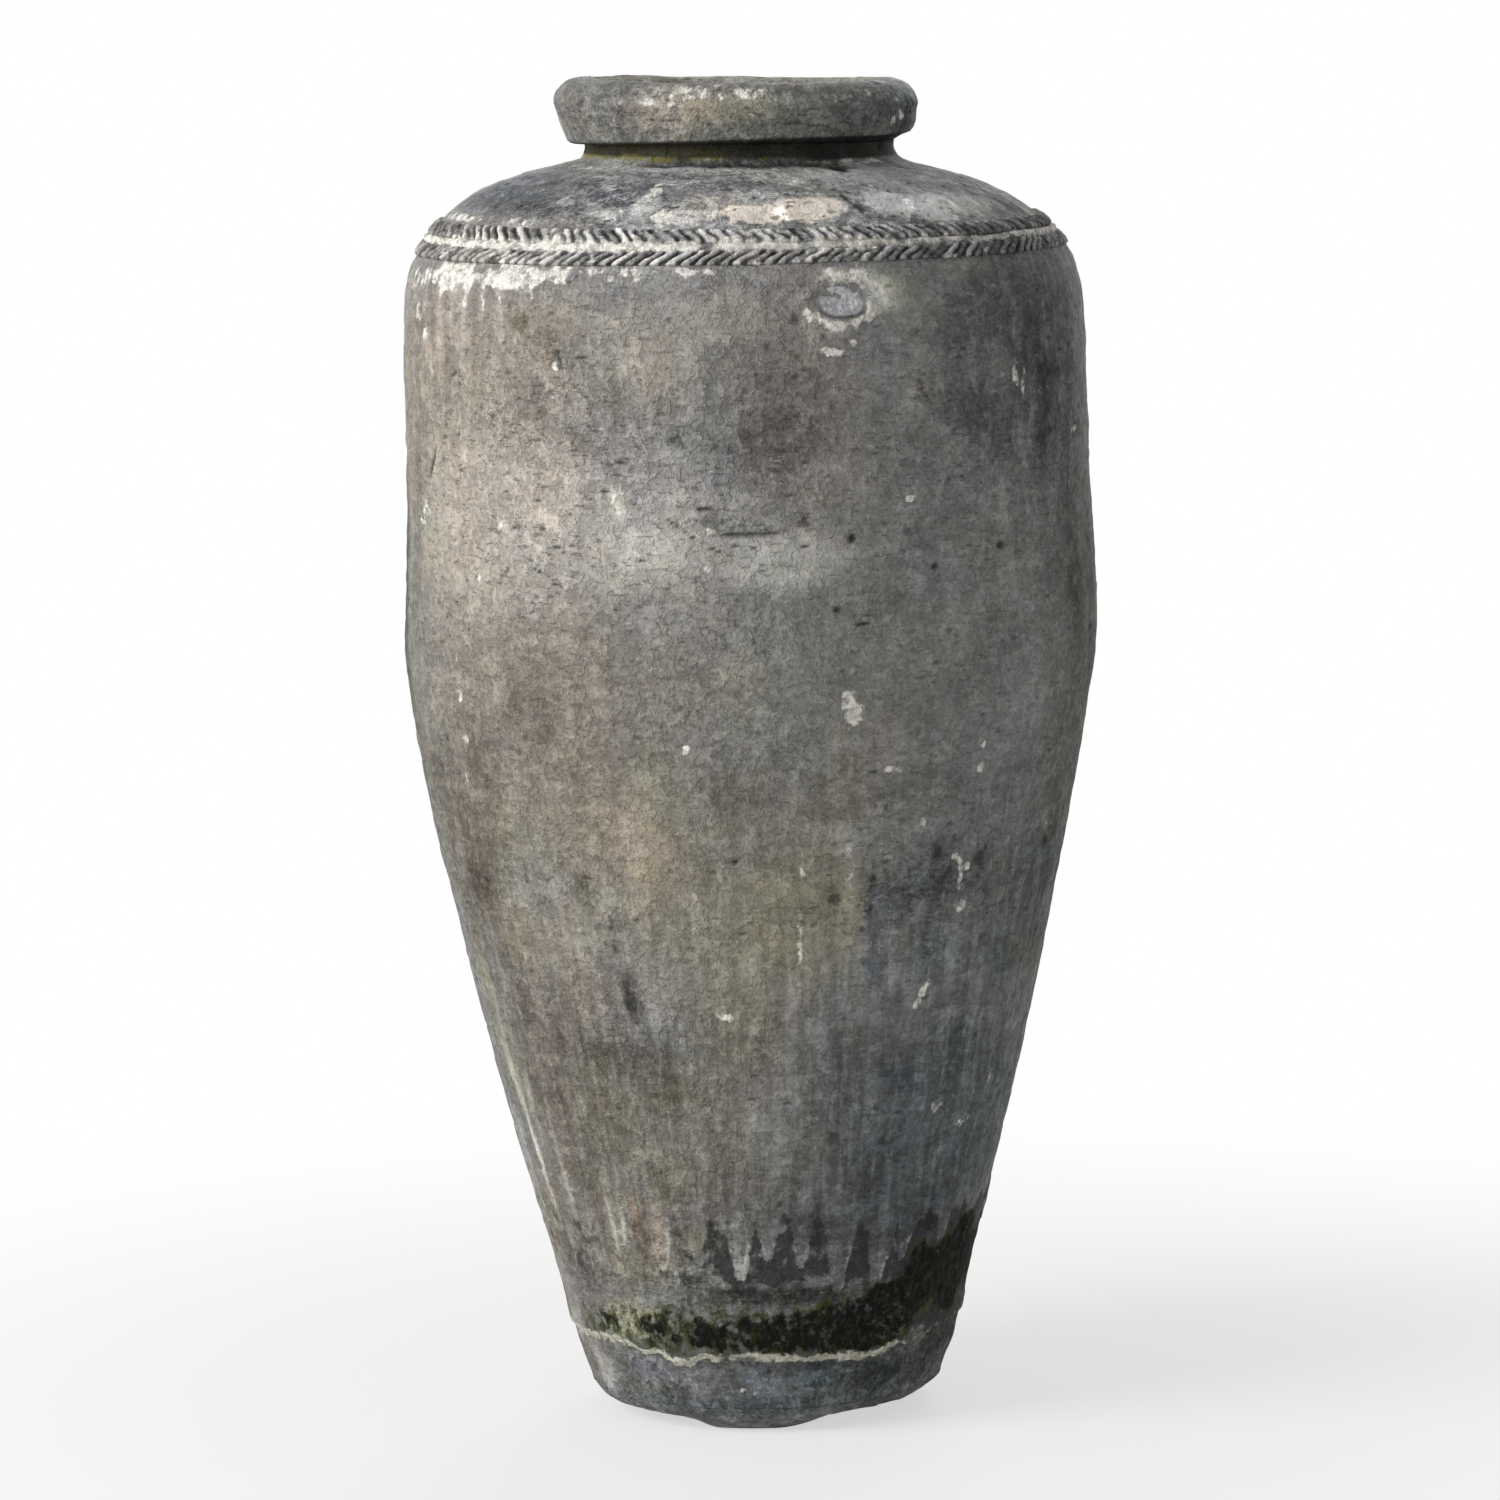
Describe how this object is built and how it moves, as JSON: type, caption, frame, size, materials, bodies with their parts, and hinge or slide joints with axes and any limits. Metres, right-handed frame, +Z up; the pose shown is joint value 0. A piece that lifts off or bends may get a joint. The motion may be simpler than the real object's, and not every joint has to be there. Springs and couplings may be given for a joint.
{
  "type": "storage jar",
  "caption": "Tall hand-coiled stoneware storage jar with a rolled collar rim, domed shoulder, rope bands, a broken lug root and a narrow bare foot.",
  "frame": {"origin": "centre of the foot on the ground", "axes": "+Z up along the jar's axis, -Y towards the side with the broken lug, +X to the right of that side"},
  "size_m": [0.4916, 0.4916, 0.9524],
  "materials": {
    "weathered_glaze": "worn grey-brown ash glaze, dull, streaked and mottled with chalky patches",
    "rim_glaze": "dark grey-olive glaze, slightly glossy, rubbed pale along the top",
    "foot_clay": "bare slate-grey stoneware, matte and mottled",
    "rope_clay": "dark grooves between pale crusted strands",
    "broken_clay": "rough grey broken clay with a pale glaze edge"
  },
  "bodies": {
    "root": {"base_slab": "foot_clay", "foot_course": "foot_clay", "lower_course": "weathered_glaze", "middle_course": "weathered_glaze", "belly_course": "weathered_glaze", "upper_course": "weathered_glaze", "shoulder_cap": "weathered_glaze", "neck_ring": "weathered_glaze", "rim_collar": "rim_glaze", "lower_rope_band": "rope_clay", "upper_rope_band": "rope_clay", "lug_stub": "broken_clay"}
  },
  "joints": []
}
